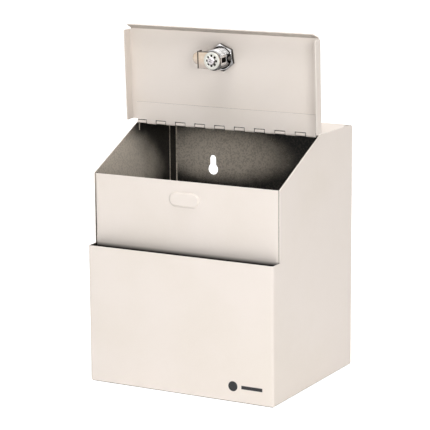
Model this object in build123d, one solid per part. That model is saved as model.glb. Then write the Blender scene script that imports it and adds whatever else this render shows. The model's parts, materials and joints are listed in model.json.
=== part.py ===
from build123d import *

# Lockable donation box in folded and spot-welded sheet steel, with a card pocket across the
# lower front, a coin and card slot in the flat top and a sloping lid on a continuous hinge.
# Millimetres. X is the width, Y runs from the pocket face to the back, Z is up.
# The origin is the centre of the footprint, at table height. The lid stands open.

import os
from math import atan2, cos, pi, radians, sin, tan

# ---------------------------------------------------------------- driving dimensions
WIDTH = 190.0  # outside faces of the side walls
DEPTH = 160.0  # pocket face to back face
HEIGHT = 230.0  # table to flat top
FRONT_HEIGHT = 193.0  # top edge of the front panel, where the slope ends
POCKET_HEIGHT = 128.0
POCKET_DEPTH = 12.4  # pocket face to front panel face
TOP_DEPTH = 68.3  # back face to the hinge edge of the flat top

SHEET = 1.0
SHELL_BEND = 1.4  # inside bend radius of the outer shell
PANEL_BEND = 0.9  # inside bend radius of the panels welded inside it
FRONT_BEND = 1.6  # inside bend radius of the front panel, which shows as a groove at each side
FLANGE = 12.0  # weld flanges and the shell's bottom lips
TOP_FLANGE = 9.0  # flanges of the flat top
FIT = 0.1  # gap that keeps welded neighbours from sharing a corner
WALL_SETBACK = 0.5  # side wall edges lie this far behind the front panel's face
TOP_CORNER = 3.6  # rounded top back corner of the side walls

SLOT_LENGTH = 120.0
SLOT_WIDTH = 7.0

KEYHOLE_SPACING = 104.0
KEYHOLE_HEIGHT = 175.9  # centre of the round part
KEYHOLE_R = 5.25
KEYHOLE_NECK_R = 3.2
KEYHOLE_RISE = 10.4  # round part's centre to the neck's end arc

CATCH_LENGTH = 30.5  # raised catch that the cam turns into
CATCH_WIDTH = 13.0
CATCH_HEIGHT = 176.6
CATCH_RISE = 1.8
CATCH_DRAFT = 35.0

LEAF = 0.9  # hinge leaf thickness
PIN_R = 1.0
PIN_CLEARANCE = 0.05
HINGE_LENGTH = 186.4
KNUCKLES = 18  # half of them on each leaf
KNUCKLE_GAP = 0.6
NOTCH_REACH = 2.5  # leaf notches start this far from the pin's axis
LID_LEAF_LENGTH = 18.8
BOX_LEAF_LENGTH = 11.2
PIN_RISE = 0.05  # pin axis above the flat top
PIN_GAP = 0.9  # flat top's edge to the knuckles

LID_LEAN = 2.35  # degrees that the open lid leans forward of upright
LID_HALF_WIDTH = 98.8
LID_START = 2.6  # back edge of the lid sheet, measured from the pin's axis
LID_LENGTH = 88.8  # pin's axis to the front fold
LID_BEND = 1.0
LID_SIDE_FLANGE = 11.0
LID_FRONT_FLANGE = 10.6

LOCK_REACH = 65.7  # pin's axis to the lock's axis
BARREL_R = 9.5
BARREL_FLAT = 8.0  # axis to each flat
BARREL_END = 20.2  # depth of the barrel's end below the pin's axis
HEAD_R = 11.0
HEAD_THICKNESS = 2.4
PLUG_R = 6.0
PLUG_CLEARANCE = 0.05
TAIL = 7.0  # side of the plug's square tail
NUT_FLATS = 22.0
NUT_THICKNESS = 3.5
NUT_TURN = 7.0  # degrees, where the tightened nut came to rest
NUT_BORE_CHAMFER = 0.9
WINDOW = (-2.3, 2.3), (10.2, 18.2)  # across and along the barrel's right flat
STOP_THICKNESS = 1.0
STOP_R = 6.3
STOP_EAR_R = 8.1
STOP_EAR_WIDTH = 3.0
LOCK_TURN = 90.0
CAM_THICKNESS = 1.5
CAM_R = 7.8  # rounded end round the plug
CAM_TIP_R = 5.8
CAM_STEP_START = 16.0
CAM_STEP = 8.0  # how far the cam's tip is stepped back towards the lid
CAM_ENGAGE = 0.9  # how far the tip turns into the catch
WASHER_THICKNESS = 0.7
WASHER_R = 8.0
WASHER_HOLE_R = 5.2
WASHER_TEETH = 8
SCREW_HEAD_R = 3.7
SCREW_HEAD = 2.0
SCREW_R = 2.0
SCREW_LENGTH = 5.2
WAFERS = 6
WAFER_PITCH = 1.9
WAFER_START = 5.0  # depth of the first wafer below the pin's axis
WAFER_THICKNESS = 0.8
WAFER_WIDTH = 6.4
SPRING_X = 4.2
SPRING_R = 0.5
SPRING_WIRE_R = 0.12
SPRING_HEIGHT = 3.0

# ---------------------------------------------------------------- worked-out places
half_width = WIDTH / 2
inner_half = half_width - SHEET
y_front = -DEPTH / 2
y_back = DEPTH / 2
y_panel = y_front + POCKET_DEPTH
y_edge = y_back - TOP_DEPTH
y_wall = y_panel + WALL_SETBACK
floor_top = 2 * SHEET  # upper face of the base panel, which lies on the shell's lips
slope = atan2(HEIGHT - FRONT_HEIGHT, y_edge - y_panel)
knuckle_bore = PIN_R + PIN_CLEARANCE
knuckle_r = knuckle_bore + LEAF
pin_y = y_edge - PIN_GAP - knuckle_r
pin_z = HEIGHT + PIN_RISE
half_hinge = HINGE_LENGTH / 2
knuckle_pitch = HINGE_LENGTH / KNUCKLES
lid_inside = knuckle_bore  # depth of the lid sheet's inner face below the pin's axis
lid_outside = lid_inside - SHEET
cam_face = BARREL_END + FIT + CAM_THICKNESS
cam_tip_face = cam_face - CAM_STEP - CAM_THICKNESS  # lid side of the stepped tip
axis_y_closed = pin_y - LOCK_REACH * cos(slope) + cam_tip_face * sin(slope)
cam_length = (axis_y_closed - (y_panel + SHEET - CAM_ENGAGE)) / cos(slope)


# ---------------------------------------------------------------- helpers
def block(x, y, z):
    """A box from three (low, high) pairs."""
    size = [high - low for low, high in (x, y, z)]
    return Pos(x[0], y[0], z[0]) * Box(*size, align=(Align.MIN,) * 3)


def prism_x(face, low, high):
    """A YZ outline carried along X."""
    return extrude(Plane.YZ.offset(low) * face, amount=high - low)


def prism_y(face, low, high):
    """An XZ outline carried along Y."""
    return extrude(Plane.XZ.offset(-high) * face, amount=high - low)


def cylinder_z(radius, low, high):
    return Pos(0, 0, low) * Cylinder(radius, high - low, align=(Align.CENTER, Align.CENTER, Align.MIN))


def offset_points(points, distance):
    """The same open outline moved to its left by distance."""
    lines = []
    for (ax, ay), (bx, by) in zip(points, points[1:]):
        length = ((bx - ax) ** 2 + (by - ay) ** 2) ** 0.5
        dx, dy = (bx - ax) / length, (by - ay) / length
        lines.append((ax - dy * distance, ay + dx * distance, dx, dy))
    moved = [lines[0][:2]]
    for (px, py, ux, uy), (qx, qy, vx, vy) in zip(lines, lines[1:]):
        along = ((qx - px) * vy - (qy - py) * vx) / (ux * vy - uy * vx)
        moved.append((px + ux * along, py + uy * along))
    last = lines[-1]
    length = ((points[-1][0] - points[-2][0]) ** 2 + (points[-1][1] - points[-2][1]) ** 2) ** 0.5
    moved.append((last[0] + last[2] * length, last[1] + last[3] * length))
    return moved


def strip(points, bend, sheet=SHEET):
    """The section of a folded sheet: points are one face, and the sheet lies to their left."""
    other = offset_points(points, sheet)
    near, far = [], []
    for (ax, ay), (bx, by), (cx, cy) in zip(points, points[1:], points[2:]):
        turns_left = (bx - ax) * (cy - by) - (by - ay) * (cx - bx) > 0
        near.append(bend + sheet if turns_left else bend)
        far.append(bend if turns_left else bend + sheet)
    outline = FilletPolyline(*points, radius=near) + Line(points[-1], other[-1])
    outline += FilletPolyline(*other, radius=far) + Line(other[0], points[0])
    return make_face(outline)


def edges_at(shape, **where):
    """Edges whose centre has these coordinates, such as x=5.0 or z=0.0."""
    return [
        edge
        for edge in shape.edges()
        if all(abs(getattr(edge.center(), axis.upper()) - value) < 1e-3 for axis, value in where.items())
    ]


def pan(x, y, z, bend, folded):
    """A thin-walled block: folded picks the edges of a block that are bends, inside and out."""
    outer = block(x, y, z)
    inner = block(*((low + SHEET, high - SHEET) for low, high in (x, y, z)))
    outer = fillet(folded(outer, x, y, z), bend + SHEET)
    inner_box = [(low + SHEET, high - SHEET) for low, high in (x, y, z)]
    inner = fillet(folded(inner, *inner_box), bend)
    return outer - inner


def in_lid(shape):
    """From the lid's own frame, pin's axis at the origin and the lid straight up, to its place."""
    return Pos(0, pin_y, pin_z) * Rot(LID_LEAN, 0, 0) * shape


def in_lock(shape):
    """From the lock's frame, +Z into the box along the plug, to its place on the lid."""
    return in_lid(Pos(0, 0, LOCK_REACH) * Rot(90, 0, 0) * shape)


def save(name, shape):
    export_step(shape, f"parts/{name}.step")


# ---------------------------------------------------------------- box body
def side_outline():
    """The side wall seen from the right, with its step for the pocket and its slope."""
    wall_top = FRONT_HEIGHT + WALL_SETBACK * tan(slope)
    points = [
        (y_front - 1, -1),
        (y_back, -1),
        (y_back, HEIGHT),
        (y_edge, HEIGHT),
        (y_wall, wall_top),
        (y_wall, POCKET_HEIGHT),
        (y_front - 1, POCKET_HEIGHT),
    ]
    face = make_face(Polyline(*points, close=True))
    corner = [v for v in face.vertices() if abs(v.X - y_back) < 1e-3 and abs(v.Y - HEIGHT) < 1e-3]
    return fillet(corner, TOP_CORNER)


def make_outer_shell():
    """Pocket face and both side walls in one wrapped sheet, with lips turned in underneath."""

    def folded(shape, x, y, z):
        upright = edges_at(shape, x=x[0], y=y[0]) + edges_at(shape, x=x[1], y=y[0])
        under = edges_at(shape, y=y[0], z=z[0])
        return upright + under + edges_at(shape, x=x[0], z=z[0]) + edges_at(shape, x=x[1], z=z[0])

    beyond = 20.0
    shell = pan(
        (-half_width, half_width), (y_front, y_back + beyond), (0, HEIGHT + beyond), SHELL_BEND, folded
    )
    shell &= prism_x(side_outline(), -half_width - 1, half_width + 1)
    lip_x = half_width - FLANGE
    shell -= block((-lip_x, lip_x), (y_front + FLANGE, y_back + 1), (-1, SHEET + 1))
    slit_start = SHELL_BEND + 2 * SHEET
    slit_end = FLANGE + 1
    middle = (slit_start + slit_end) / 2
    slit = Box((slit_end - slit_start) * 2**0.5, 0.5, 3 * SHEET)
    for side in (-1, 1):
        shell -= Pos(side * (half_width - middle), y_front + middle, 0) * Rot(0, 0, 90 + 45 * side) * slit
    return shell


def make_base_panel():
    """Flat floor of the box and of the pocket, lying on the lips."""
    x = inner_half - SHELL_BEND - FIT
    y_low = y_front + SHEET + SHELL_BEND + FIT
    y_high = y_back - SHEET - PANEL_BEND - FIT
    base = block((-x, x), (y_low, y_high), (SHEET, floor_top))
    corner = 2.0
    return fillet(base.edges().filter_by(Axis.Z), corner)


def catch(grow, depth):
    """The raised catch as a solid standing on the front panel's face, grown by grow all round."""
    outline = SlotOverall(CATCH_LENGTH + 2 * grow, CATCH_WIDTH + 2 * grow)
    return Pos(0, y_panel, CATCH_HEIGHT) * extrude(
        Plane.XZ * outline, amount=depth, taper=CATCH_DRAFT
    )


def make_front_panel():
    """Front wall behind the pocket, with side and bottom flanges and the raised catch."""

    def folded(shape, x, y, z):
        sides = edges_at(shape, x=x[0], y=y[0]) + edges_at(shape, x=x[1], y=y[0])
        return sides + edges_at(shape, y=y[0], z=z[0])

    beyond = 20.0
    panel = pan(
        (-inner_half, inner_half),
        (y_panel, y_panel + FLANGE + beyond),
        (floor_top, FRONT_HEIGHT + beyond),
        FRONT_BEND,
        folded,
    )
    panel &= block((-half_width, half_width), (y_panel - 1, y_panel + FLANGE), (0, FRONT_HEIGHT))
    clear = SHELL_BEND + 2 * FIT
    for side in (-1, 1):
        corner = block((-clear, clear), (y_panel - 1, y_panel + FLANGE + 1), (0, floor_top + clear))
        panel -= Pos(side * inner_half, 0, 0) * corner
        flange_top = Polyline(
            (y_panel + 3 * SHEET, FRONT_HEIGHT + 1),
            (y_panel + FLANGE + 1, FRONT_HEIGHT + 1),
            (y_panel + FLANGE + 1, FRONT_HEIGHT - FLANGE),
            close=True,
        )
        across = sorted((side * (inner_half - 2 * SHEET), side * half_width))
        panel -= prism_x(make_face(flange_top), *across)
    wall_slant = SHEET * (1 - sin(radians(CATCH_DRAFT))) / cos(radians(CATCH_DRAFT))
    panel += catch(0, CATCH_RISE)
    hollow = Pos(0, SHEET, 0) * catch(-wall_slant, CATCH_RISE)
    behind = Pos(0, y_panel + SHEET + 1, CATCH_HEIGHT) * extrude(
        Plane.XZ * SlotOverall(CATCH_LENGTH - 2 * wall_slant, CATCH_WIDTH - 2 * wall_slant), amount=1
    )
    return panel - hollow - behind


def make_top_panel():
    """Flat top between the side walls, flanged at the sides and the back, with the slot."""
    x = inner_half - PANEL_BEND - SHEET
    low = HEIGHT - TOP_FLANGE
    across = [(inner_half, low), (inner_half, HEIGHT), (-inner_half, HEIGHT), (-inner_half, low)]
    back = y_back - SHEET
    along = [(back, low), (back, HEIGHT), (y_edge, HEIGHT)]
    top = prism_y(strip(across, PANEL_BEND), y_edge, back - FLANGE - FIT)
    top += prism_x(strip(along, PANEL_BEND), -x, x)
    slot = Pos(0, (y_edge + y_back) / 2, HEIGHT) * extrude(
        SlotOverall(SLOT_LENGTH, SLOT_WIDTH), amount=2 * SHEET, both=True
    )
    return top - slot


def keyhole(x):
    """A keyhole through the back panel, wide part down."""
    round_part = Pos(x, KEYHOLE_HEIGHT) * Circle(KEYHOLE_R)
    neck = Pos(x, KEYHOLE_HEIGHT + KEYHOLE_RISE / 2) * Rectangle(2 * KEYHOLE_NECK_R, KEYHOLE_RISE)
    end = Pos(x, KEYHOLE_HEIGHT + KEYHOLE_RISE) * Circle(KEYHOLE_NECK_R)
    return prism_y(round_part + neck + end, y_back - 2 * SHEET, y_back + SHEET)


def make_back_panel():
    """Back wall with side flanges, a bottom flange and two keyholes for hanging."""

    def folded(shape, x, y, z):
        sides = edges_at(shape, x=x[0], y=y[1]) + edges_at(shape, x=x[1], y=y[1])
        return sides + edges_at(shape, y=y[1], z=z[0])

    beyond = 20.0
    top = HEIGHT - PANEL_BEND - SHEET - FIT
    panel = pan(
        (-inner_half, inner_half),
        (y_back - FLANGE - beyond, y_back),
        (0, HEIGHT + beyond),
        PANEL_BEND,
        folded,
    )
    panel &= block((-half_width, half_width), (y_back - FLANGE, y_back + 1), (-1, top))
    lip_x = half_width - FLANGE - 5 * FIT
    clear = SHELL_BEND + SHEET + 2 * FIT
    for side in (-1, 1):
        x = sorted((side * lip_x, side * half_width))
        panel -= block(x, (y_back - FLANGE - 1, y_back + 1), (-1, SHEET + 5 * FIT))
        x = sorted((side * (inner_half - clear), side * half_width))
        panel -= block(x, (y_back - FLANGE - 1, y_back + 1), (-1, SHEET + clear))
        panel -= keyhole(side * KEYHOLE_SPACING / 2)
    return panel


# ---------------------------------------------------------------- continuous hinge
def knuckle_spans(first):
    """(low, high) of every second knuckle along X, from knuckle number first."""
    start = -half_hinge
    return [
        (start + n * knuckle_pitch + KNUCKLE_GAP / 2, start + (n + 1) * knuckle_pitch - KNUCKLE_GAP / 2)
        for n in range(first, KNUCKLES, 2)
    ]


def make_leaf(length, half_length, first):
    """A hinge leaf in the lid's frame: it stands up from the pin and its back is on the sheet."""
    face_y = -knuckle_r
    leaf = block((-half_length, half_length), (face_y, face_y + LEAF), (NOTCH_REACH, length))
    curl_gap = 0.3
    for low, high in knuckle_spans(first):
        web = block((low, high), (face_y, face_y + LEAF), (0, NOTCH_REACH))
        turn = prism_x(Circle(knuckle_r), low, high) - prism_x(Circle(knuckle_bore), low - 1, high + 1)
        slit = block((low, high), (face_y + LEAF, face_y + LEAF + curl_gap), (0, knuckle_r))
        leaf += web + (turn - slit)
    return leaf


def make_box_leaf():
    """The leaf under the flat top, cut back at both ends to pass the top's side flanges."""
    half_length = inner_half - SHEET - PANEL_BEND - FIT
    leaf = make_leaf(BOX_LEAF_LENGTH, half_length, 1)
    return Pos(0, pin_y, pin_z) * Rot(0, 0, 180) * Rot(90, 0, 0) * leaf


def make_hinge_pin():
    pin = prism_x(Circle(PIN_R), -half_hinge, half_hinge)
    pin = chamfer(pin.edges().filter_by(GeomType.CIRCLE), PIN_R / 4)
    return Pos(0, pin_y, pin_z) * pin


# ---------------------------------------------------------------- lid
def barrel_section(grow=0.0):
    """Round barrel with two flats."""
    flats = Rectangle(2 * (BARREL_FLAT + grow), 4 * BARREL_R)
    return Circle(BARREL_R + grow) & flats


def make_lid():
    """Lid sheet with two side flanges and a front flange that hangs upright when it is shut."""
    corner_gap = 1.6
    sides = [
        (LID_HALF_WIDTH, -lid_outside - LID_SIDE_FLANGE),
        (LID_HALF_WIDTH, -lid_outside),
        (-LID_HALF_WIDTH, -lid_outside),
        (-LID_HALF_WIDTH, -lid_outside - LID_SIDE_FLANGE),
    ]
    section = strip(sides, LID_BEND)
    lid = Pos(0, 0, LID_START) * extrude(section, amount=LID_LENGTH - corner_gap - LID_START)
    end = (
        -lid_outside - LID_FRONT_FLANGE * cos(slope),
        LID_LENGTH + LID_FRONT_FLANGE * sin(slope),
    )
    front = [(-lid_outside, LID_LENGTH / 2), (-lid_outside, LID_LENGTH), end]
    flange_half = LID_HALF_WIDTH - LID_BEND - SHEET
    lid += prism_x(strip(front, LID_BEND), -flange_half, flange_half)
    taper = 2.4
    for side in (-1, 1):
        wedge = Polyline(
            (side * flange_half, LID_LENGTH - SHEET),
            (side * (flange_half - taper), LID_LENGTH + LID_FRONT_FLANGE),
            (side * (flange_half + 5), LID_LENGTH + LID_FRONT_FLANGE),
            close=True,
        )
        lid -= prism_y(make_face(wedge), -LID_SIDE_FLANGE - 5, 1)
    hole = Pos(0, 0, LOCK_REACH) * Rot(90, 0, 0) * extrude(barrel_section(FIT), amount=4 * SHEET, both=True)
    return lid - hole


# ---------------------------------------------------------------- cam lock, in the lock's frame
def make_lock_housing():
    head_low = lid_outside - HEAD_THICKNESS
    head = cylinder_z(HEAD_R, head_low, lid_outside)
    head = fillet(head.faces().sort_by(Axis.Z)[0].edges(), HEAD_THICKNESS / 3)
    housing = head + Pos(0, 0, lid_outside) * extrude(barrel_section(), amount=BARREL_END - lid_outside)
    housing -= cylinder_z(PLUG_R + PLUG_CLEARANCE, head_low - 1, BARREL_END + 1)
    housing -= cylinder_z(STOP_R + FIT, BARREL_END - STOP_THICKNESS - FIT, BARREL_END + 1)
    for turn in range(0, int(LOCK_TURN) + 1, 15):
        ear = Pos(STOP_EAR_R / 2 + 1, 0, BARREL_END) * Box(
            STOP_EAR_R + 3, STOP_EAR_WIDTH + 2 * FIT, 2 * (STOP_THICKNESS + FIT)
        )
        housing -= Rot(0, 0, 180 - turn) * ear
    groove_low = WAFER_START - WAFER_THICKNESS
    groove_high = WAFER_START + WAFERS * WAFER_PITCH
    groove_half = WAFER_WIDTH / 2 + FIT
    housing -= block((-groove_half, groove_half), (-7.4, 7.4), (groove_low, groove_high))
    return housing - block((0, BARREL_R + 1), *WINDOW)


def make_lock_nut():
    across = NUT_FLATS / cos(pi / 6)
    nut = extrude(RegularPolygon(across / 2, 6), amount=NUT_THICKNESS)
    cone_height = NUT_FLATS / 2 * tan(radians(30)) + NUT_THICKNESS
    cone_r = NUT_FLATS / 2 + cone_height / tan(radians(30))
    cone = Cone(cone_r, 0.0, cone_r * tan(radians(30)), align=(Align.CENTER, Align.CENTER, Align.MIN))
    lift = NUT_THICKNESS + (NUT_FLATS / 2) * tan(radians(30)) - cone_r * tan(radians(30))
    nut &= Pos(0, 0, lift) * cone
    bore_r = BARREL_R + PLUG_CLEARANCE
    nut -= cylinder_z(bore_r, -1, NUT_THICKNESS + 1)
    mouth = Cone(bore_r - 1, bore_r + NUT_BORE_CHAMFER, 1 + NUT_BORE_CHAMFER)
    nut -= Pos(0, 0, NUT_THICKNESS - (1 + NUT_BORE_CHAMFER) / 2) * mouth
    return Pos(0, 0, lid_inside) * Rot(0, 0, NUT_TURN + 30) * nut


def wafer_depths():
    return [WAFER_START + n * WAFER_PITCH for n in range(WAFERS)]


def wafer_slot(depth, spare):
    """The room of one wafer across the plug, spare larger all round."""
    half = WAFER_WIDTH / 2 + spare
    return block((-half, half), (-PLUG_R - 1, PLUG_R + 1), (depth - spare, depth + WAFER_THICKNESS + spare))


def make_lock_plug():
    face = lid_outside - HEAD_THICKNESS + 0.3
    body_end = BARREL_END - STOP_THICKNESS - FIT
    plug = cylinder_z(PLUG_R, face, body_end)
    plug = fillet(plug.faces().sort_by(Axis.Z)[0].edges(), 0.4)
    plug += block((-TAIL / 2, TAIL / 2), (-TAIL / 2, TAIL / 2), (body_end, cam_face - FIT))
    keyway = block((-0.9, 0.9), (-4.2, 4.2), (face - 1, WAFER_START + WAFERS * WAFER_PITCH))
    plug -= keyway
    for depth in wafer_depths():
        plug -= wafer_slot(depth, PLUG_CLEARANCE)
        middle = depth + WAFER_THICKNESS / 2
        pocket = Pos(SPRING_X, 0, middle) * Rot(90, 0, 0) * Cylinder(SPRING_R + 0.2, SPRING_HEIGHT + 0.3)
        plug -= pocket
    return plug - cylinder_z(SCREW_R + 0.02, cam_face - SCREW_LENGTH, cam_face + 1)


def make_lock_wafers():
    """Wafers drawn level with the plug, as they stand with the key in."""
    round_plug = cylinder_z(PLUG_R - PLUG_CLEARANCE, 0, BARREL_END)
    wafers = []
    for depth in wafer_depths():
        wafer = wafer_slot(depth, 0) & round_plug
        wafers.append(wafer - block((-1.3, 1.3), (-3.4, 3.4), (depth - 1, depth + 2)))
    return Compound(wafers)


def make_wafer_springs():
    springs = []
    for depth in wafer_depths():
        path = Helix(pitch=0.6, height=SPRING_HEIGHT - 2 * SPRING_WIRE_R, radius=SPRING_R)
        wire = sweep(Plane(path @ 0, z_dir=path % 0) * Circle(SPRING_WIRE_R), path=path, is_frenet=True)
        springs.append(
            Pos(SPRING_X, SPRING_HEIGHT / 2, depth + WAFER_THICKNESS / 2) * Rot(90, 0, 0) * wire
        )
    return Compound(springs)


def make_stop_washer():
    """Turns with the plug; its ear meets the ends of the notch in the housing."""
    low = BARREL_END - STOP_THICKNESS
    washer = cylinder_z(STOP_R, low, BARREL_END)
    washer += block((-STOP_EAR_R, 0), (-STOP_EAR_WIDTH / 2, STOP_EAR_WIDTH / 2), (low, BARREL_END))
    hole = TAIL / 2 + PLUG_CLEARANCE
    return washer - block((-hole, hole), (-hole, hole), (low - 1, BARREL_END + 1))


def make_cam():
    """Stepped cam, drawn towards +X and turned to the unlocked side."""
    low = cam_face - CAM_THICKNESS
    points = [
        (cam_length, low - CAM_STEP),
        (CAM_STEP_START - CAM_THICKNESS, low - CAM_STEP),
        (CAM_STEP_START - CAM_THICKNESS, low),
        (-CAM_R - 1, low),
    ]
    section = strip(points[::-1], 0.8, CAM_THICKNESS)
    cam = prism_y(section, -CAM_R - 1, CAM_R + 1)
    plan = Circle(CAM_R) + Pos(CAM_STEP_START / 2, 0) * Rectangle(CAM_STEP_START, 2 * CAM_R)
    plan += Pos(cam_length / 2, 0) * SlotOverall(cam_length, 2 * CAM_TIP_R)
    cam &= extrude(plan, amount=cam_face + 1)
    hole = TAIL / 2 + PLUG_CLEARANCE
    cam -= block((-hole, hole), (-hole, hole), (low - 1, cam_face + 1))
    return Rot(0, 0, 180) * cam


def make_cam_washer():
    """Internal-tooth lock washer."""
    face = Circle(WASHER_R) - Circle(WASHER_HOLE_R)
    for n in range(WASHER_TEETH):
        tooth = Pos((SCREW_R + WASHER_HOLE_R) / 2 + 0.3, 0) * Rectangle(WASHER_HOLE_R - SCREW_R + 0.6, 1.9)
        face += Rot(0, 0, 360 / WASHER_TEETH * n) * tooth
    face -= Circle(SCREW_R + 0.25)
    return Pos(0, 0, cam_face) * extrude(face, amount=WASHER_THICKNESS)


def make_cam_screw():
    """Pan-head screw with a cross recess."""
    low = cam_face + WASHER_THICKNESS
    head = cylinder_z(SCREW_HEAD_R, low, low + SCREW_HEAD)
    head = fillet(head.faces().sort_by(Axis.Z)[-1].edges(), SCREW_HEAD * 0.55)
    for turn in (0, 90):
        head -= Pos(0, 0, low + SCREW_HEAD) * Rot(0, 0, turn + 20) * Box(4.0, 0.9, 2.0)
    return head + cylinder_z(SCREW_R, low - SCREW_LENGTH + WASHER_THICKNESS, low)


# ---------------------------------------------------------------- write the parts
os.makedirs("parts", exist_ok=True)
save("outer_shell", make_outer_shell())
save("base_panel", make_base_panel())
save("front_panel", make_front_panel())
save("top_panel", make_top_panel())
save("back_panel", make_back_panel())
save("hinge_box_leaf", make_box_leaf())
save("hinge_lid_leaf", in_lid(make_leaf(LID_LEAF_LENGTH, half_hinge, 1)))
save("hinge_pin", make_hinge_pin())
save("lid", in_lid(make_lid()))
for name, make in {
    "lock_housing": make_lock_housing,
    "lock_nut": make_lock_nut,
    "lock_plug": make_lock_plug,
    "lock_wafers": make_lock_wafers,
    "wafer_springs": make_wafer_springs,
    "stop_washer": make_stop_washer,
    "cam": make_cam,
    "cam_washer": make_cam_washer,
    "cam_screw": make_cam_screw,
}.items():
    save(name, in_lock(make()))
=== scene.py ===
import json
from math import cos, pi, radians, sin

import bmesh
import bpy
from mathutils import Matrix, Vector


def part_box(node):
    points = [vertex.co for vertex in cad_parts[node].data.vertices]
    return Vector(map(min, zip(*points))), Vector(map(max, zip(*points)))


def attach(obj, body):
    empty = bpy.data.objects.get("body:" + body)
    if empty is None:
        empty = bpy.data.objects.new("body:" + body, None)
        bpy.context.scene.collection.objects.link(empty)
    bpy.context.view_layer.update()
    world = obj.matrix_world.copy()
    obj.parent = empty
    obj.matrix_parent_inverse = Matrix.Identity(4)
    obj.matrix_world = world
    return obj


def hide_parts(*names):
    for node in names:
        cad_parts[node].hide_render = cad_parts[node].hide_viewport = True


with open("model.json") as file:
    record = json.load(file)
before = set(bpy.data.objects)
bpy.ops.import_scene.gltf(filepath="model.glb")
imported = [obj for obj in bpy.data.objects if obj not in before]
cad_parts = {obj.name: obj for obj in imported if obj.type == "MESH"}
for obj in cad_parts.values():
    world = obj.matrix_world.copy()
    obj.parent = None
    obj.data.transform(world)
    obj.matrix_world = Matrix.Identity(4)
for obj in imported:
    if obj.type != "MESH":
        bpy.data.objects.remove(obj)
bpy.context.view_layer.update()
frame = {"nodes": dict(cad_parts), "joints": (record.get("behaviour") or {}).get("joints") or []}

# A donation box in powder-coated sheet steel, with a chromed cam lock on its open lid.
# Metres, in the part's own frame: X is the width, Y runs to the back, Z is up.

MM = 0.001
NODES = frame["nodes"]
JOINTS = {joint["name"]: joint for joint in frame["joints"]}

# ---------------------------------------------------------------- places, from the frame
SHEET = 1.0 * MM
shell_low, shell_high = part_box("outer_shell")
top_low, top_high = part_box("top_panel")
back_low, back_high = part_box("back_panel")
pocket_top = 128.0 * MM
pocket_depth = 12.4 * MM
panel_face = shell_low.y + pocket_depth  # front panel's face behind the pocket
pin = Vector(JOINTS["lid_hinge"]["pos_m"])
lock_axis = Vector(JOINTS["lock_turn"]["axis"]).normalized()  # out of the lid
lock_origin = Vector(JOINTS["lock_turn"]["pos_m"])


def lock_frame():
    """The lock's own frame: X across, Y towards the lid's front fold, Z into the box."""
    z = -lock_axis
    x = Vector((1, 0, 0))
    y = z.cross(x)
    turn = Matrix((x, y, z)).transposed().to_4x4()
    return Matrix.Translation(lock_origin) @ turn


# ---------------------------------------------------------------- the lock, in its own frame
BARREL_R = 9.5 * MM
FLAT_X = 8.0 * MM  # half the width across the barrel's flats
THREAD_PITCH = 1.5 * MM
THREAD_DEPTH = 0.7 * MM
HEAD_UNDERSIDE = 0.05 * MM  # depth below the pin's axis at which the lid's outside face lies
BARREL_END = 20.2 * MM
WASHER_FACE = 21.8 * MM  # depth of the cam's outer face
WASHER_THICKNESS = 0.7 * MM
WASHER_R = 8.0 * MM
WASHER_HOLE_R = 5.6 * MM
TOOTH_END_R = 2.5 * MM
TEETH = 8
TOOTH_SHARE = 0.42  # share of each eighth that is tooth
TOOTH_TWIST = 0.45 * MM
CAM_BEND_X = 14.9 * MM  # how far out the cam bends towards the lid
CAM_EDGE_Z = 5.9 * MM  # how far up its sheared top edge begins


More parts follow.
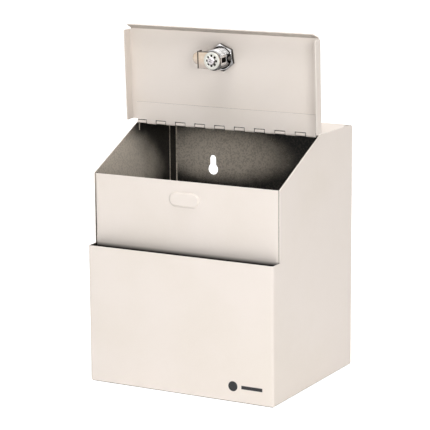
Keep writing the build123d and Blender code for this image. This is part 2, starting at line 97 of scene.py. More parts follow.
# ---------------------------------------------------------------- shader helpers
class Tree:
    """A material's node tree with one-line calls for the nodes used here."""

    def __init__(self, name):
        self.material = bpy.data.materials.new(name)
        self.material.use_nodes = True
        self.nodes = self.material.node_tree.nodes
        self.links = self.material.node_tree.links
        self.shader = self.nodes["Principled BSDF"]
        coordinates = self.nodes.new("ShaderNodeTexCoord")
        self.place = coordinates.outputs["Object"]
        self.normal = coordinates.outputs["Normal"]
        split = self.nodes.new("ShaderNodeSeparateXYZ")
        self.links.new(self.place, split.inputs[0])
        self.x, self.y, self.z = split.outputs

    def feed(self, socket, value):
        """A socket takes a link or a plain value."""
        if isinstance(value, bpy.types.NodeSocket):
            self.links.new(value, socket)
        else:
            socket.default_value = value

    def math(self, operation, a, b=0.0, clamp=False):
        node = self.nodes.new("ShaderNodeMath")
        node.operation = operation
        node.use_clamp = clamp
        self.feed(node.inputs[0], a)
        self.feed(node.inputs[1], b)
        return node.outputs[0]

    def vector(self, operation, a, b):
        node = self.nodes.new("ShaderNodeVectorMath")
        node.operation = operation
        self.feed(node.inputs[0], a)
        self.feed(node.inputs[1], b)
        return node.outputs["Value" if operation in ("DOT_PRODUCT", "LENGTH") else "Vector"]

    def facing(self, direction):
        """1 where the surface faces along direction, -1 where it faces the other way."""
        return self.vector("DOT_PRODUCT", self.normal, tuple(direction))

    def lock_depth(self):
        """Depth into the box along the lock, from the lid pin's axis."""
        offset = self.vector("SUBTRACT", self.place, tuple(lock_origin))
        return self.vector("DOT_PRODUCT", offset, tuple(-lock_axis))

    def lock_radius(self):
        """Distance from the lock's axis."""
        offset = self.vector("SUBTRACT", self.place, tuple(lock_origin))
        across = self.vector("CROSS_PRODUCT", offset, tuple(lock_axis))
        return self.vector("LENGTH", across, (0, 0, 0))

    def ramp(self, value, low, high, out_low=0.0, out_high=1.0):
        """value from low to high becomes out_low to out_high, smoothly."""
        node = self.nodes.new("ShaderNodeMapRange")
        node.interpolation_type = "SMOOTHSTEP"
        node.clamp = True
        self.feed(node.inputs["Value"], value)
        self.feed(node.inputs["From Min"], low)
        self.feed(node.inputs["From Max"], high)
        self.feed(node.inputs["To Min"], out_low)
        self.feed(node.inputs["To Max"], out_high)
        return node.outputs["Result"]

    def mix(self, share, a, b):
        node = self.nodes.new("ShaderNodeMix")
        node.data_type = "RGBA"
        self.feed(node.inputs["Factor"], share)
        self.feed(node.inputs["A"], a)
        self.feed(node.inputs["B"], b)
        return node.outputs["Result"]

    def stretch(self, scale):
        node = self.nodes.new("ShaderNodeMapping")
        self.links.new(self.place, node.inputs["Vector"])
        node.inputs["Scale"].default_value = scale
        return node.outputs[0]

    def noise(self, size, detail=2.0, roughness=0.5, place=None):
        """Noise whose features are about size metres across."""
        node = self.nodes.new("ShaderNodeTexNoise")
        self.links.new(place or self.place, node.inputs["Vector"])
        node.inputs["Scale"].default_value = 1 / size
        node.inputs["Detail"].default_value = detail
        node.inputs["Roughness"].default_value = roughness
        return node.outputs["Fac"]

    def cells(self, size):
        """Distance from the nearest of many scattered points about size metres apart, in units of size."""
        node = self.nodes.new("ShaderNodeTexVoronoi")
        self.links.new(self.place, node.inputs["Vector"])
        node.inputs["Scale"].default_value = 1 / size
        return node.outputs["Distance"]

    def edge(self, radius):
        """0 on open surface, rising towards sharp edges that are within radius."""
        bevel = self.nodes.new("ShaderNodeBevel")
        bevel.samples = 4
        bevel.inputs["Radius"].default_value = radius
        geometry = self.nodes.new("ShaderNodeNewGeometry")
        turned = self.vector("DOT_PRODUCT", bevel.outputs[0], geometry.outputs["Normal"])
        return self.ramp(turned, 0.98, 0.75)

    def crevice_shade(self, reach):
        """1 in narrow gaps, seams and inside corners, 0 on open surface: the mask for painted shade."""
        node = self.nodes.new("ShaderNodeAmbientOcclusion")
        node.samples = 8
        node.inputs["Distance"].default_value = reach
        return self.ramp(node.outputs["AO"], 0.78, 0.25)

    def bump(self, height, distance, strength=1.0, over=None):
        node = self.nodes.new("ShaderNodeBump")
        node.inputs["Strength"].default_value = strength
        node.inputs["Distance"].default_value = distance
        self.links.new(height, node.inputs["Height"])
        if over is not None:
            self.links.new(over, node.inputs["Normal"])
        return node.outputs[0]

    def finish(self, color, roughness, normal=None, metallic=0.0):
        self.feed(self.shader.inputs["Base Color"], color)
        self.feed(self.shader.inputs["Roughness"], roughness)
        self.shader.inputs["Metallic"].default_value = metallic
        if normal is not None:
            self.links.new(normal, self.shader.inputs["Normal"])
        return self.material


# ---------------------------------------------------------------- materials
CREAM = (0.82, 0.745, 0.685, 1)
CREAM_WARM = (0.795, 0.72, 0.65, 1)
# Light flecks of grain in the coat, and the colour of the painted highlight along sharp edges.
CREAM_GRAIN_AND_HIGHLIGHT = (0.88, 0.83, 0.78, 1)
LID_INSIDE_SHADE = (0.74, 0.665, 0.60, 1)
UNDERSIDE_SHADE = (0.30, 0.26, 0.22, 1)
SEAM_SHADE = (0.055, 0.048, 0.040, 1)
# The dusted inside where it is painted lit.
DUSTED_LIT = (0.76, 0.68, 0.58, 1)
DUST_HOLLOW = (0.11, 0.095, 0.072, 1)
DUST_SPECK = (0.86, 0.78, 0.62, 1)
# Bare dark steel, also used for painted shade.
BARE_STEEL_AND_SHADE = (0.008, 0.0075, 0.006, 1)
INK = (0.018, 0.018, 0.020, 1)


def coat_look(tree):
    """Colour, roughness and normal of the smooth off-white powder coat, with a painted highlight along
    sharp edges and painted shade in seams and inside corners.
    """
    drift = tree.noise(70 * MM, detail=3)
    grain = tree.noise(1.1 * MM, detail=2)
    color = tree.mix(tree.ramp(drift, 0.35, 0.7), CREAM, CREAM_WARM)
    color = tree.mix(tree.math("MULTIPLY", tree.ramp(grain, 0.3, 0.75), 0.10), color, CREAM_GRAIN_AND_HIGHLIGHT)
    # Painted highlight: the coat is lightened along sharp edges.
    color = tree.mix(tree.math("MULTIPLY", tree.edge(0.8 * MM), 0.6), color, CREAM_GRAIN_AND_HIGHLIGHT)
    # Painted shade in seams, gaps and inside corners.
    color = tree.mix(tree.crevice_shade(1.6 * MM), color, SEAM_SHADE)
    roughness = tree.ramp(tree.noise(9 * MM, detail=4), 0.3, 0.7, 0.34, 0.44)
    peel = tree.bump(tree.noise(2.2 * MM, detail=1), 0.03 * MM)
    normal = tree.bump(grain, 0.012 * MM, over=peel)
    return color, roughness, normal


def inside_look(tree, painted_light, mottle):
    """Inside, where the powder only dusts the dark steel. Its second argument is painted light and shade: 1
    where the inside is painted lit, 0 where it is painted in shade.
    """
    clumps = tree.noise(0.9 * MM, detail=3, roughness=0.7)
    grains = tree.noise(1.5 * MM, detail=1)
    wave = tree.noise(16 * MM, detail=3)
    light_and_dust = tree.math("ADD", painted_light, tree.math("MULTIPLY", tree.math("SUBTRACT", wave, 0.5), 0.35))
    light_and_dust = tree.math("ADD", light_and_dust, tree.math("MULTIPLY", tree.math("SUBTRACT", clumps, 0.5), mottle))
    # Painted light and shade: bare dark steel where painted in shade, dusted coat where painted lit.
    color = tree.mix(tree.ramp(light_and_dust, 0.05, 1.1), BARE_STEEL_AND_SHADE, DUSTED_LIT)
    color = tree.mix(tree.ramp(grains, 0.56, 0.36, 0.0, 0.75 * mottle), color, DUST_HOLLOW)
    specks = tree.ramp(tree.cells(1.5 * MM), 0.34, 0.16)
    share = tree.math("MULTIPLY", specks, tree.ramp(light_and_dust, 0.1, 0.5, 0.0, 0.6 * mottle))
    color = tree.mix(share, color, DUST_SPECK)
    roughness = tree.ramp(clumps, 0.3, 0.7, 0.55, 0.72)
    normal = tree.bump(grains, 0.12 * MM, over=tree.bump(clumps, 0.06 * MM))
    return color, roughness, normal


def blend_looks(tree, share, first, second):
    """Two (colour, roughness, normal) looks mixed by share."""
    color = tree.mix(share, first[0], second[0])
    roughness = tree.math(
        "ADD",
        tree.math("MULTIPLY", first[1], tree.math("SUBTRACT", 1.0, share)),
        tree.math("MULTIPLY", second[1], share),
    )
    normal = tree.nodes.new("ShaderNodeMix")
    normal.data_type = "VECTOR"
    tree.links.new(share, normal.inputs["Factor"])
    tree.links.new(first[2], normal.inputs[4])
    tree.links.new(second[2], normal.inputs[5])
    return color, roughness, normal.outputs[1]


def coat():
    """Powder coat all over."""
    tree = Tree("powder_coat")
    return tree.finish(*coat_look(tree))


def coat_with_inside(name, is_inside, painted_light, over=None, mottle=0.3):
    """Powder coat outside, dusted dark steel inside with painted light and shade from its third argument;
    over changes the outside's colour.
    """
    tree = Tree(name)
    color, roughness, normal = coat_look(tree)
    if over is not None:
        color = over(tree, color)
    inside = inside_look(tree, painted_light(tree), mottle)
    return tree.finish(*blend_looks(tree, is_inside(tree), (color, roughness, normal), inside))


def leaf_coat(name, is_inside):
    """Powder coat over a hinge leaf, with painted shade on the faces turned sideways, such as the knuckles'
    cut ends, and over the part that a given mask picks.
    """
    tree = Tree(name)
    color, roughness, normal = coat_look(tree)
    # Painted shade on the faces turned sideways.
    side_faces_shade = tree.ramp(tree.math("ABSOLUTE", tree.facing((1, 0, 0))), 0.7, 0.95, 0.0, 0.85)
    color = tree.mix(side_faces_shade, color, SEAM_SHADE)
    if is_inside is not None:
        # Painted shade over the part the mask picks.
        color = tree.mix(is_inside(tree), color, BARE_STEEL_AND_SHADE)
    return tree.finish(color, roughness, normal)


def lid_coat():
    """Powder coat with painted shade on the lid's inside and on its downward faces, such as under the front
    flange.
    """
    tree = Tree("lid_coat")
    color, roughness, normal = coat_look(tree)
    inside = tree.math("GREATER_THAN", tree.lock_depth(), 1.0 * MM)
    # Painted shade on the inside.
    color = tree.mix(tree.math("MULTIPLY", inside, 0.2), color, LID_INSIDE_SHADE)
    # Painted shade on downward faces.
    underside = tree.ramp(tree.facing((0, 0, -1)), 0.25, 0.6, 0.0, 0.8)
    color = tree.mix(underside, color, UNDERSIDE_SHADE)
    return tree.finish(color, roughness, normal)


MARK_X, MARK_Z = 54.5 * MM, 15.0 * MM
MARK_R = 4.6 * MM
BAR_X, BAR_HALF_LENGTH, BAR_HALF_HEIGHT = 73.5 * MM, 10.5 * MM, 1.6 * MM


def print_mark(tree, color):
    """A small printed dot and bar at the foot of the pocket's face."""
    across = tree.math("SUBTRACT", tree.x, MARK_X)
    up = tree.math("SUBTRACT", tree.z, MARK_Z)
    squares = tree.math("ADD", tree.math("MULTIPLY", across, across), tree.math("MULTIPLY", up, up))
    away = tree.math("POWER", squares, 0.5)
    dot = tree.ramp(away, MARK_R + 0.1 * MM, MARK_R - 0.1 * MM)
    along = tree.math("ABSOLUTE", tree.math("SUBTRACT", tree.x, BAR_X))
    length = tree.ramp(along, BAR_HALF_LENGTH + 0.1 * MM, BAR_HALF_LENGTH - 0.1 * MM)
    height = tree.ramp(tree.math("ABSOLUTE", up), BAR_HALF_HEIGHT + 0.1 * MM, BAR_HALF_HEIGHT - 0.1 * MM)
    printed = tree.math("MAXIMUM", dot, tree.math("MULTIPLY", length, height))
    front = tree.math("LESS_THAN", tree.y, shell_low.y + 0.1 * MM)
    return tree.mix(tree.math("MULTIPLY", printed, front), color, INK)


def pocket_shade(tree, color):
    """Painted shade: the front panel darkens fast below the pocket's mouth."""
    shaded = tree.ramp(tree.z, pocket_top + 2.2 * MM, pocket_top - 2.6 * MM)
    return tree.mix(shaded, color, BARE_STEEL_AND_SHADE)


CATCH_Z = 176.6 * MM
CATCH_HALF_STRAIGHT = 8.75 * MM  # from the catch's middle to its end arcs' centres
CATCH_FOOT_R = 6.9 * MM
CATCH_SHADE = (0.34, 0.30, 0.26, 1)


def panel_shade(tree, color):
    """The pocket's painted shade, and a painted shadow round the left and lower foot of the raised catch.
    """
    past_straight = tree.math("SUBTRACT", tree.math("ABSOLUTE", tree.x), CATCH_HALF_STRAIGHT)
    end = tree.math("MAXIMUM", past_straight, 0.0)
    along = tree.math("MULTIPLY", end, tree.math("SIGN", tree.x))
    rise = tree.math("SUBTRACT", tree.z, CATCH_Z)
    squares = tree.math("ADD", tree.math("MULTIPLY", along, along), tree.math("MULTIPLY", rise, rise))
    away = tree.math("SQRT", squares)
    off_foot = tree.math("ABSOLUTE", tree.math("SUBTRACT", away, CATCH_FOOT_R))
    foot = tree.ramp(off_foot, 1.0 * MM, 0.3 * MM)
    towards = tree.math("ADD", tree.math("MULTIPLY", along, -0.8), tree.math("MULTIPLY", rise, -0.6))
    share = tree.ramp(tree.math("DIVIDE", towards, away), 0.1, 0.8, 0.0, 0.32)
    # Painted shadow at the catch's foot.
    color = tree.mix(tree.math("MULTIPLY", foot, share), color, CATCH_SHADE)
    return pocket_shade(tree, color)


def oval(tree, across, up, centre, reach):
    """1 well inside a rounded rectangle, falling to 0 at its rim. centre and reach are pairs."""
    u = tree.math("DIVIDE", tree.math("SUBTRACT", across, centre[0]), reach[0])
    v = tree.math("DIVIDE", tree.math("SUBTRACT", up, centre[1]), reach[1])
    far = tree.math("ADD", tree.math("MULTIPLY", u, u), tree.math("MULTIPLY", v, v))
    return tree.ramp(far, 1.45, 0.0)


def shell_inside(tree):
    inner = tree.math("LESS_THAN", tree.math("ABSOLUTE", tree.x), shell_high.x - SHEET + 0.05 * MM)
    behind = tree.math("GREATER_THAN", tree.y, shell_low.y + SHEET - 0.05 * MM)
    from_rim = tree.math("ABSOLUTE", tree.math("SUBTRACT", tree.z, pocket_top))
    below_rim = tree.math("GREATER_THAN", from_rim, 0.05 * MM)
    return tree.math("MULTIPLY", tree.math("MULTIPLY", inner, behind), below_rim)


def light_in_shell(tree):
    """Painted light and shade on the shell's inside: painted lit in the walls' middle, painted shade
    towards the corners and the depth of the box.
    """
    sunk = tree.math("ADD", tree.z, tree.math("MULTIPLY", tree.y, 0.22))
    return oval(tree, tree.y, sunk, (-26 * MM, 190 * MM), (84 * MM, 38 * MM))


def back_inside(tree):
    return tree.math("LESS_THAN", tree.y, back_high.y - SHEET + 0.05 * MM)


def light_in_back(tree):
    """Painted light on the back wall's inside: a painted pool of light on its flat and painted highlights
    on the edges and bends of its flanges; the rest is in painted shade.
    """
    flat = tree.math("GREATER_THAN", tree.facing((0, -1, 0)), 0.5)
    light_pool = oval(tree, tree.x, tree.z, (-46 * MM, 192 * MM), (82 * MM, 29 * MM))
    bend = tree.ramp(tree.math("ABSOLUTE", tree.x), back_high.x - 2.9 * SHEET, back_high.x - 2.2 * SHEET)
    edge = tree.math("LESS_THAN", tree.y, back_low.y + 0.2 * SHEET)
    bright = tree.math("MAXIMUM", tree.math("MAXIMUM", bend, edge), light_pool)
    return tree.math("MULTIPLY", flat, bright)


def panel_inside(tree):
    return tree.math("GREATER_THAN", tree.y, panel_face + SHEET - 0.05 * MM)


def top_inside(tree):
    under = tree.math("LESS_THAN", tree.z, top_high.z - SHEET + 0.05 * MM)
    return tree.math("MULTIPLY", under, tree.math("LESS_THAN", tree.y, back_high.y - 1.5 * SHEET))


def light_in_top(tree):
    """Painted light on the top's inside: only faces turned to the front, such as the flanges' front edges,
    are painted lit; the rest is in painted shade.
    """
    return tree.math("MULTIPLY", tree.facing((0, -1, 0)), 1.3)


def leaf_under_knuckles(tree):
    # The box leaf below its knuckles, which its coat paints in shade.
    return tree.math("LESS_THAN", tree.z, pin.z - 1.2 * MM)


def light_in_panel(tree):
    # Painted shade: the front panel's inside is painted in shade near the top and painted lit lower down.
    return tree.ramp(tree.z, top_low.z - 60 * MM, top_low.z - 100 * MM)


# Dark grease, also used for painted shade and shadow.
GREASE_AND_SHADE = (0.020, 0.014, 0.012, 1)
# Grime, also used for painted shade.
GRIME_AND_SHADE = (0.045, 0.038, 0.032, 1)


def plating(tree, tint, low=0.08, high=0.22):
    """Bright plating with fine scratches, a faint cloud and painted shade in the recesses."""
    cloud = tree.noise(4 * MM, detail=4)
    dull = tuple(part * 0.72 for part in tint[:3]) + (1,)
    color = tree.mix(tree.ramp(cloud, 0.35, 0.7), tint, dull)
    # Painted shade in the recesses.
    color = tree.mix(tree.crevice_shade(1.2 * MM), color, GRIME_AND_SHADE)
    scratches = tree.noise(0.5 * MM, detail=2, place=tree.stretch((1, 14, 1)))
    roughness = tree.ramp(tree.math("MULTIPLY", scratches, cloud), 0.12, 0.42, low, high)
    normal = tree.bump(tree.noise(0.25 * MM, detail=3), 0.004 * MM, strength=0.5)
    return color, roughness, normal


def chrome(name, tint, low=0.08, high=0.22):
    tree = Tree(name)
    return tree.finish(*plating(tree, tint, low, high), metallic=1.0)


def housing_metal():
    """Chrome with painted shade in the thread's grooves and on its downward faces."""
    tree = Tree("lock_chrome")
    color, roughness, normal = plating(tree, (0.86, 0.85, 0.85, 1))
    in_thread = tree.ramp(tree.lock_radius(), BARREL_R - 0.3 * MM, BARREL_R - 0.65 * MM)
    from_axis = tree.math("ABSOLUTE", tree.math("SUBTRACT", tree.x, lock_origin.x))
    off_flats = tree.math("LESS_THAN", from_axis, FLAT_X - 0.1 * MM)
    below_head = tree.math("GREATER_THAN", tree.lock_depth(), 1.1 * MM)
    groove = tree.math("MULTIPLY", tree.math("MULTIPLY", in_thread, off_flats), below_head)
    # Painted shade in the thread's grooves.
    color = tree.mix(tree.math("MULTIPLY", groove, 0.6), color, GRIME_AND_SHADE)
    # Painted shade on downward faces.
    color = tree.mix(tree.ramp(tree.facing((0, 0, -1)), 0.45, 0.85), color, GREASE_AND_SHADE)
    return tree.finish(color, roughness, normal, metallic=1.0)


def nut_metal():
    """Chrome on the face, darker on its sides, with a painted dark reflection in the mouth of the bore."""
    tree = Tree("nut_chrome")
    color, roughness, normal = plating(tree, (0.86, 0.85, 0.85, 1))
    upright = tree.math("ABSOLUTE", tree.facing(lock_axis))
    side = tree.ramp(upright, 0.45, 0.25)
    mouth = tree.ramp(tree.lock_radius(), BARREL_R + 0.95 * MM, BARREL_R + 0.65 * MM)
    # Darker sides, and a painted dark reflection in the bore's mouth.
    color = tree.mix(tree.math("MAXIMUM", side, mouth), color, GRIME_AND_SHADE)
    return tree.finish(color, roughness, normal, metallic=1.0)


def plug_metal():
    """Chromed keyway face; the rest of the plug, inside the barrel, is dark."""
    tree = Tree("plug_metal")
    face = tree.math("LESS_THAN", tree.lock_depth(), 0.0)
    dark_rest = tree.mix(tree.noise(2.5 * MM, detail=3), GREASE_AND_SHADE, GRIME_AND_SHADE)
    color = tree.mix(face, dark_rest, (0.82, 0.81, 0.81, 1))
    roughness = tree.ramp(face, 0.0, 1.0, 0.5, 0.16)
    normal = tree.bump(tree.noise(0.3 * MM), 0.004 * MM)
    return tree.finish(color, roughness, normal, metallic=1.0)


def zinc_look(tree, tint, warm):
    """Zinc plating on a stamped part: cloudy, softly brushed, warmer in patches, with painted shade in its
    recesses.
    """
    cloud = tree.noise(3.0 * MM, detail=3)
    brushed = tree.noise(0.22 * MM, detail=2, place=tree.stretch((1, 8, 8)))
    color = tree.mix(tree.ramp(cloud, 0.35, 0.65), tint, warm)
    # Painted shade in the recesses.
    color = tree.mix(tree.crevice_shade(1.0 * MM), color, GRIME_AND_SHADE)
    roughness = tree.ramp(brushed, 0.3, 0.7, 0.28, 0.42)
    return color, roughness, tree.bump(brushed, 0.006 * MM)


def zinc(name, tint, warm):
    tree = Tree(name)
    return tree.finish(*zinc_look(tree, tint, warm), metallic=1.0)


def cam_metal():
    """Warm zinc, darker and greyer towards the lower side, with painted shadow along its sharp edges, at
    its bend and along its top edge, and dark round the hole.
    """
    tree = Tree("cam_zinc")
    warm, roughness, normal = zinc_look(tree, (0.80, 0.68, 0.56, 1), (0.74, 0.60, 0.47, 1))
    low = tree.ramp(tree.z, lock_origin.z, lock_origin.z - 8 * MM, 0.0, 0.7)
    color = tree.mix(low, warm, (0.48, 0.43, 0.41, 1))
    # Painted shadow along the sharp edges.
    color = tree.mix(tree.math("MULTIPLY", tree.edge(0.9 * MM), 0.95), color, GREASE_AND_SHADE)
    # Dark round the hole.
    color = tree.mix(tree.ramp(tree.lock_radius(), 6.3 * MM, 5.8 * MM), color, GREASE_AND_SHADE)
    from_bend = tree.math("ADD", tree.math("SUBTRACT", tree.x, lock_origin.x), CAM_BEND_X)
    at_bend = tree.ramp(tree.math("ABSOLUTE", from_bend), 1.3 * MM, 0.8 * MM)
    at_edge = tree.ramp(tree.z, lock_origin.z + CAM_EDGE_Z, lock_origin.z + CAM_EDGE_Z + 0.7 * MM)
    # Painted shade at the bend and along the sheared top edge.
    color = tree.mix(tree.math("MULTIPLY", tree.math("MAXIMUM", at_bend, at_edge), 0.9), color, GRIME_AND_SHADE)
    return tree.finish(color, roughness, normal, metallic=1.0)


def assign(material, *names):
    for name in names:
        slots = NODES[name].data.materials
        slots.clear()
        slots.append(material)


def dress_frame():
    """Every CAD node that stays in view gets its finish."""
    assign(coat(), "base_panel")
    assign(lid_coat(), "lid")
    assign(leaf_coat("lid_leaf_coat", None), "hinge_lid_leaf")
    assign(leaf_coat("box_leaf_coat", leaf_under_knuckles), "hinge_box_leaf")
    assign(coat_with_inside("shell_coat", shell_inside, light_in_shell, print_mark), "outer_shell")
    assign(coat_with_inside("back_coat", back_inside, light_in_back, mottle=0.42), "back_panel")
    assign(coat_with_inside("panel_coat", panel_inside, light_in_panel, panel_shade), "front_panel")
    assign(coat_with_inside("top_coat", top_inside, light_in_top), "top_panel")
    make_housing(housing_metal())
    assign(nut_metal(), "lock_nut")
    assign(plug_metal(), "lock_plug")
    assign(chrome("pin_steel", (0.58, 0.57, 0.56, 1), 0.25, 0.45), "hinge_pin", "wafer_springs")
    assign(cam_metal(), "cam", "stop_washer")
    make_toothed_washer(zinc("washer_zinc", (0.80, 0.80, 0.74, 1), (0.74, 0.73, 0.67, 1)))
    assign(zinc("screw_zinc", (0.88, 0.84, 0.85, 1), (0.82, 0.77, 0.78, 1)), "cam_screw")
    assign(zinc("wafer_brass", (0.76, 0.58, 0.28, 1), (0.66, 0.48, 0.22, 1)), "lock_wafers")


# ---------------------------------------------------------------- detailed pieces of the lock
def new_piece(name, mesh, node, body, material):
    """A finished piece that stands for a CAD node."""
    piece = bpy.data.objects.new(name, mesh)
    bpy.context.collection.objects.link(piece)
    piece.data.materials.append(material)
    for face in piece.data.polygons:
        face.use_smooth = True
    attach(piece, body)
    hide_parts(node)
    return piece


def ring_mesh(name, rings, steps, radius_at, height_at):
    """Skins rings of steps points each, from radius_at(ring, angle) and height_at(ring), ends closed."""
    points, faces = [], []
    for ring in range(rings):
        for step in range(steps):
            angle = 2 * pi * step / steps
            r = radius_at(ring, angle)
            points.append((r * cos(angle), r * sin(angle), height_at(ring)))
    for ring in range(rings - 1):
        for step in range(steps):
            a = ring * steps + step
            b = ring * steps + (step + 1) % steps
            faces.append((a, b, b + steps, a + steps))
    faces.append(tuple(reversed(range(steps))))
    faces.append(tuple(range((rings - 1) * steps, rings * steps)))
    mesh = bpy.data.meshes.new(name)
    mesh.from_pydata(points, [], faces)
    return mesh


def thread_blank():
    """A solid with a cut thread round the barrel and room for the whole head."""
    steps, per_turn = 96, 10
    crest = BARREL_R - 0.05 * MM
    start = HEAD_UNDERSIDE + 0.02 * MM
    pitch_step = THREAD_PITCH / per_turn
    rings = int((BARREL_END + MM - start) / pitch_step) + 1
    wide = 2 * BARREL_R
    heights = [start - 5 * MM, start] + [start + ring * pitch_step for ring in range(rings)]

    def radius_at(ring, angle):
        if ring < 2:
            return wide
        along = heights[ring]
        turn = (along / THREAD_PITCH - angle / (2 * pi)) % 1.0
        tooth = min(1.0, 3.4 * abs(turn - 0.5))
        end_taper = max(0.0, along - (BARREL_END - 1.2 * MM)) * 0.8
        return crest - THREAD_DEPTH * (1 - tooth) - end_taper

    return ring_mesh("thread_blank", len(heights), steps, radius_at, lambda ring: heights[ring])


def carve(blank, node):
    """The part of blank, in the lock's frame, that lies inside a CAD node, as a new mesh."""
    blank.transform(lock_frame())
    tool = bpy.data.objects.new("carve_blank", blank)
    bpy.context.collection.objects.link(tool)
    target = NODES[node].copy()
    target.data = NODES[node].data.copy()
    bpy.context.collection.objects.link(target)
    cut = target.modifiers.new("cut", "BOOLEAN")
    cut.operation = "INTERSECT"
    cut.solver = "EXACT"
    cut.object = tool
    weld = bmesh.new()
    weld.from_mesh(target.data)
    bmesh.ops.remove_doubles(weld, verts=weld.verts, dist=0.002 * MM)
    weld.to_mesh(target.data)
    weld.free()
    graph = bpy.context.evaluated_depsgraph_get()
    mesh = bpy.data.meshes.new_from_object(target.evaluated_get(graph))
    bpy.data.objects.remove(target)
    bpy.data.objects.remove(tool)
    mesh.materials.clear()
    return mesh


def make_housing(material):
    """Lock housing with a real thread on its rounded sides."""
    mesh = carve(thread_blank(), "lock_housing")
    mesh.name = "lock_body"
    piece = new_piece("lock_body", mesh, "lock_housing", "lid", material)
    mesh.set_sharp_from_angle(angle=radians(35))
    return piece


def make_toothed_washer(material):
    """Internal-tooth lock washer whose eight teeth are each twisted out of its plane."""
    steps, radial = 192, 9
    sector = 2 * pi / TEETH

    def tooth_at(angle):
        """-1 to 1 across a tooth, or None in a gap between teeth."""
        across = ((angle % sector) / sector - 0.5) * 2 / TOOTH_SHARE
        return across if abs(across) <= 1 else None

    def rim(angle):
        return TOOTH_END_R if tooth_at(angle) is not None else WASHER_HOLE_R

    points, faces = [], []
    for side in (0, 1):
        for ring in range(radial):
            for step in range(steps):
                angle = 2 * pi * step / steps
                inner = rim(angle)
                r = inner + (WASHER_R - inner) * ring / (radial - 1)
                reach = max(0.0, (WASHER_HOLE_R - r) / (WASHER_HOLE_R - TOOTH_END_R))
                twist = TOOTH_TWIST * reach * (tooth_at(angle) or 0.0)
                crown = 0.12 * MM * (1 - ((r - 6.5 * MM) / (1.3 * MM)) ** 2) if r > WASHER_HOLE_R else 0.0
                height = WASHER_FACE + side * (WASHER_THICKNESS + crown) + max(twist, -0.05 * MM)
                points.append((r * cos(angle), r * sin(angle), height))
    layer = radial * steps
    for ring in range(radial - 1):
        for step in range(steps):
            a = ring * steps + step
            b = ring * steps + (step + 1) % steps
            faces.append((a, a + steps, b + steps, b))
            faces.append((layer + a, layer + b, layer + b + steps, layer + a + steps))
    for step in range(steps):
        a, b = step, (step + 1) % steps
        faces.append((a, b, layer + b, layer + a))
        a, b = a + layer - steps, b + layer - steps
        faces.append((b, a, layer + a, layer + b))
    mesh = bpy.data.meshes.new("toothed_washer")
    mesh.from_pydata(points, [], faces)
    mesh.transform(lock_frame())
    piece = new_piece("toothed_washer", mesh, "cam_washer", "lock_core", material)
    mesh.set_sharp_from_angle(angle=radians(40))
    return piece


# ---------------------------------------------------------------- stage
FLOOR_SEEN = 1.0
FLOOR_GLOW = 0.45


def floor_white():
    """A pale table that is brighter in view than it is as a light on the box."""
    tree = Tree("floor_white")
    path = tree.nodes.new("ShaderNodeLightPath")
    glow = tree.ramp(path.outputs["Is Camera Ray"], 0.0, 1.0, FLOOR_GLOW, FLOOR_SEEN)
    tree.shader.inputs["Emission Color"].default_value = (1, 1, 1, 1)
    tree.links.new(glow, tree.shader.inputs["Emission Strength"])
    return tree.finish((0.85, 0.85, 0.85, 1), 0.8)


def make_floor():
    """A pale, softly lit table that runs far past the view."""
    half = 6.0
    mesh = bpy.data.meshes.new("floor")
    corners = [(-half, -half, 0), (half, -half, 0), (half, half, 0), (-half, half, 0)]
    mesh.from_pydata(corners, [], [(0, 1, 2, 3)])
    floor = bpy.data.objects.new("floor", mesh)
    bpy.context.collection.objects.link(floor)
    floor.data.materials.append(floor_white())
    floor.visible_glossy = False


SEEN_WHITE = 1.1
WORLD_FILL = 0.3
MIRRORED_DARK = 0.05
MIRRORED_SKY = 2.1
MIRRORED_CARD = 1.15
CARD_TOWARDS = (-0.22, -0.96, -0.16)  # where the reflecting card stands, seen from the box
SOFTBOXES = {  # name: (azimuth, elevation, distance, width, height, watts), azimuth 0 in front
    "key": (50, 16, 2.0, 0.7, 0.9, 12.2),
    "front": (-5, 14, 2.2, 1.1, 0.8, 7.3),
    "top": (20, 78, 1.9, 1.4, 1.2, 28.5),
    "back_top": (160, 55, 2.0, 1.2, 0.8, 20.0),
}
UNMIRRORED = ("top", "back_top")  # softboxes that the chrome doesn't show


def map_range(nodes, links, value, low, high, out_low, out_high):
    node = nodes.new("ShaderNodeMapRange")
    node.interpolation_type = "SMOOTHSTEP"
    links.new(value, node.inputs["Value"])
    for socket, number in zip(("From Min", "From Max", "To Min", "To Max"), (low, high, out_low, out_high)):
        node.inputs[socket].default_value = number
    return node.outputs["Result"]


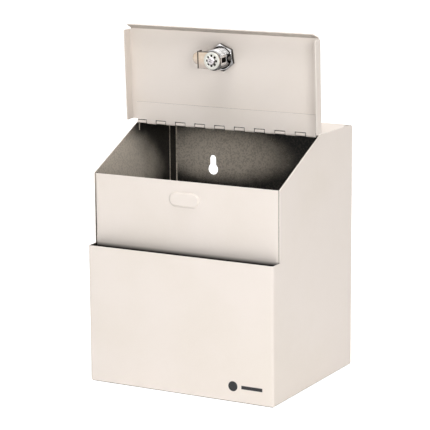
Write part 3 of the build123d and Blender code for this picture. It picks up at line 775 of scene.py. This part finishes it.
def make_world():
    """White to the camera, a plain fill for matt surfaces, a dark studio in mirror-like ones."""
    world = bpy.data.worlds.new("studio")
    bpy.context.scene.world = world
    world.use_nodes = True
    nodes, links = world.node_tree.nodes, world.node_tree.links
    fill = nodes["Background"]
    fill.inputs["Strength"].default_value = WORLD_FILL
    seen = nodes.new("ShaderNodeBackground")
    seen.inputs["Strength"].default_value = SEEN_WHITE
    mirrored = nodes.new("ShaderNodeBackground")
    towards = nodes.new("ShaderNodeTexCoord").outputs["Generated"]
    split = nodes.new("ShaderNodeSeparateXYZ")
    links.new(towards, split.inputs[0])
    sky = map_range(nodes, links, split.outputs[2], 0.15, 0.85, MIRRORED_DARK, MIRRORED_SKY)
    aim = nodes.new("ShaderNodeVectorMath")
    aim.operation = "DOT_PRODUCT"
    links.new(towards, aim.inputs[0])
    aim.inputs[1].default_value = CARD_TOWARDS
    card = map_range(nodes, links, aim.outputs["Value"], 0.55, 0.88, 0.0, MIRRORED_CARD)
    both = nodes.new("ShaderNodeMath")
    links.new(sky, both.inputs[0])
    links.new(card, both.inputs[1])
    links.new(both.outputs[0], mirrored.inputs["Strength"])
    path = nodes.new("ShaderNodeLightPath")
    by_gloss = nodes.new("ShaderNodeMixShader")
    links.new(path.outputs["Is Glossy Ray"], by_gloss.inputs[0])
    links.new(fill.outputs[0], by_gloss.inputs[1])
    links.new(mirrored.outputs[0], by_gloss.inputs[2])
    by_camera = nodes.new("ShaderNodeMixShader")
    links.new(path.outputs["Is Camera Ray"], by_camera.inputs[0])
    links.new(by_gloss.outputs[0], by_camera.inputs[1])
    links.new(seen.outputs[0], by_camera.inputs[2])
    links.new(by_camera.outputs[0], nodes["World Output"].inputs["Surface"])


def make_softboxes():
    target = Vector((0, 0, 0.16))
    for name, (azimuth, elevation, distance, width, height, watts) in SOFTBOXES.items():
        a, e = radians(azimuth), radians(elevation)
        light = bpy.data.lights.new(name, "AREA")
        light.shape = "RECTANGLE"
        light.size, light.size_y = width, height
        light.energy = watts
        lamp = bpy.data.objects.new(name, light)
        lamp.location = target + distance * Vector((sin(a) * cos(e), -cos(a) * cos(e), sin(e)))
        lamp.rotation_euler = (target - lamp.location).to_track_quat("-Z", "Y").to_euler()
        lamp.visible_glossy = name not in UNMIRRORED
        bpy.context.collection.objects.link(lamp)


CAMERA_PLACE = (0.8820, -1.6078, 0.5312)
CAMERA_TURN = (-0.5049, -0.2048, -0.0071)  # yaw, pitch and roll, in radians
CAMERA_LENS = 170.35  # millimetres, on a 36 mm sensor


def make_camera():
    yaw, pitch, roll = CAMERA_TURN
    forward = Vector((sin(yaw) * cos(pitch), cos(yaw) * cos(pitch), sin(pitch)))
    level = Vector((cos(yaw), -sin(yaw), 0))
    rise = level.cross(forward)
    right = level * cos(roll) + rise * sin(roll)
    up = rise * cos(roll) - level * sin(roll)
    data = bpy.data.cameras.new("camera")
    data.lens = CAMERA_LENS
    data.sensor_width = 36.0
    data.clip_start, data.clip_end = 0.05, 50
    camera = bpy.data.objects.new("camera", data)
    turn = Matrix((right, up, -forward)).transposed().to_4x4()
    camera.matrix_world = Matrix.Translation(CAMERA_PLACE) @ turn
    bpy.context.collection.objects.link(camera)
    bpy.context.scene.camera = camera


# ---------------------------------------------------------------- build
bpy.context.scene.view_settings.view_transform = "Standard"
make_camera()
make_world()
make_floor()
make_softboxes()
dress_frame()
